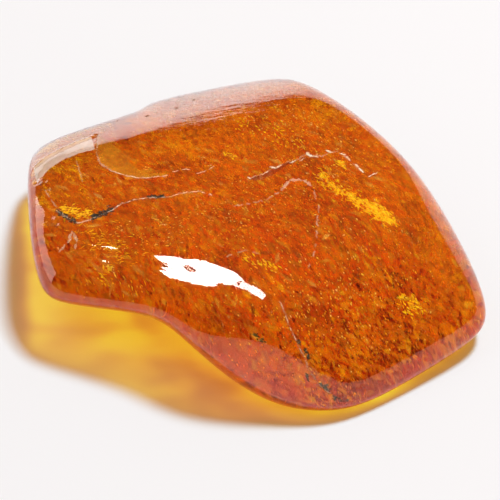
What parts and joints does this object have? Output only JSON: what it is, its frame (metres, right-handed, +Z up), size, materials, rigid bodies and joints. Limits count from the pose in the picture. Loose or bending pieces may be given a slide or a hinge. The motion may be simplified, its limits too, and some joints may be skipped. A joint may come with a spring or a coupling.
{
  "type": "polished amber nugget",
  "caption": "Free-form tumbled nugget of clear orange amber, with a thick rounded body, a raised lobe at one end and one flat side to rest on.",
  "frame": {"origin": "middle of the nugget's plan, on the surface it rests on", "axes": "+X along its length, towards the thick rounded end; +Y away from the near side; +Z up from the flat side it rests on"},
  "size_m": [0.046, 0.0404, 0.0156],
  "materials": {
    "amber": "hand-polished clear orange amber with internal fractures and glints"
  },
  "bodies": {
    "root": {"amber": "amber"}
  },
  "joints": []
}
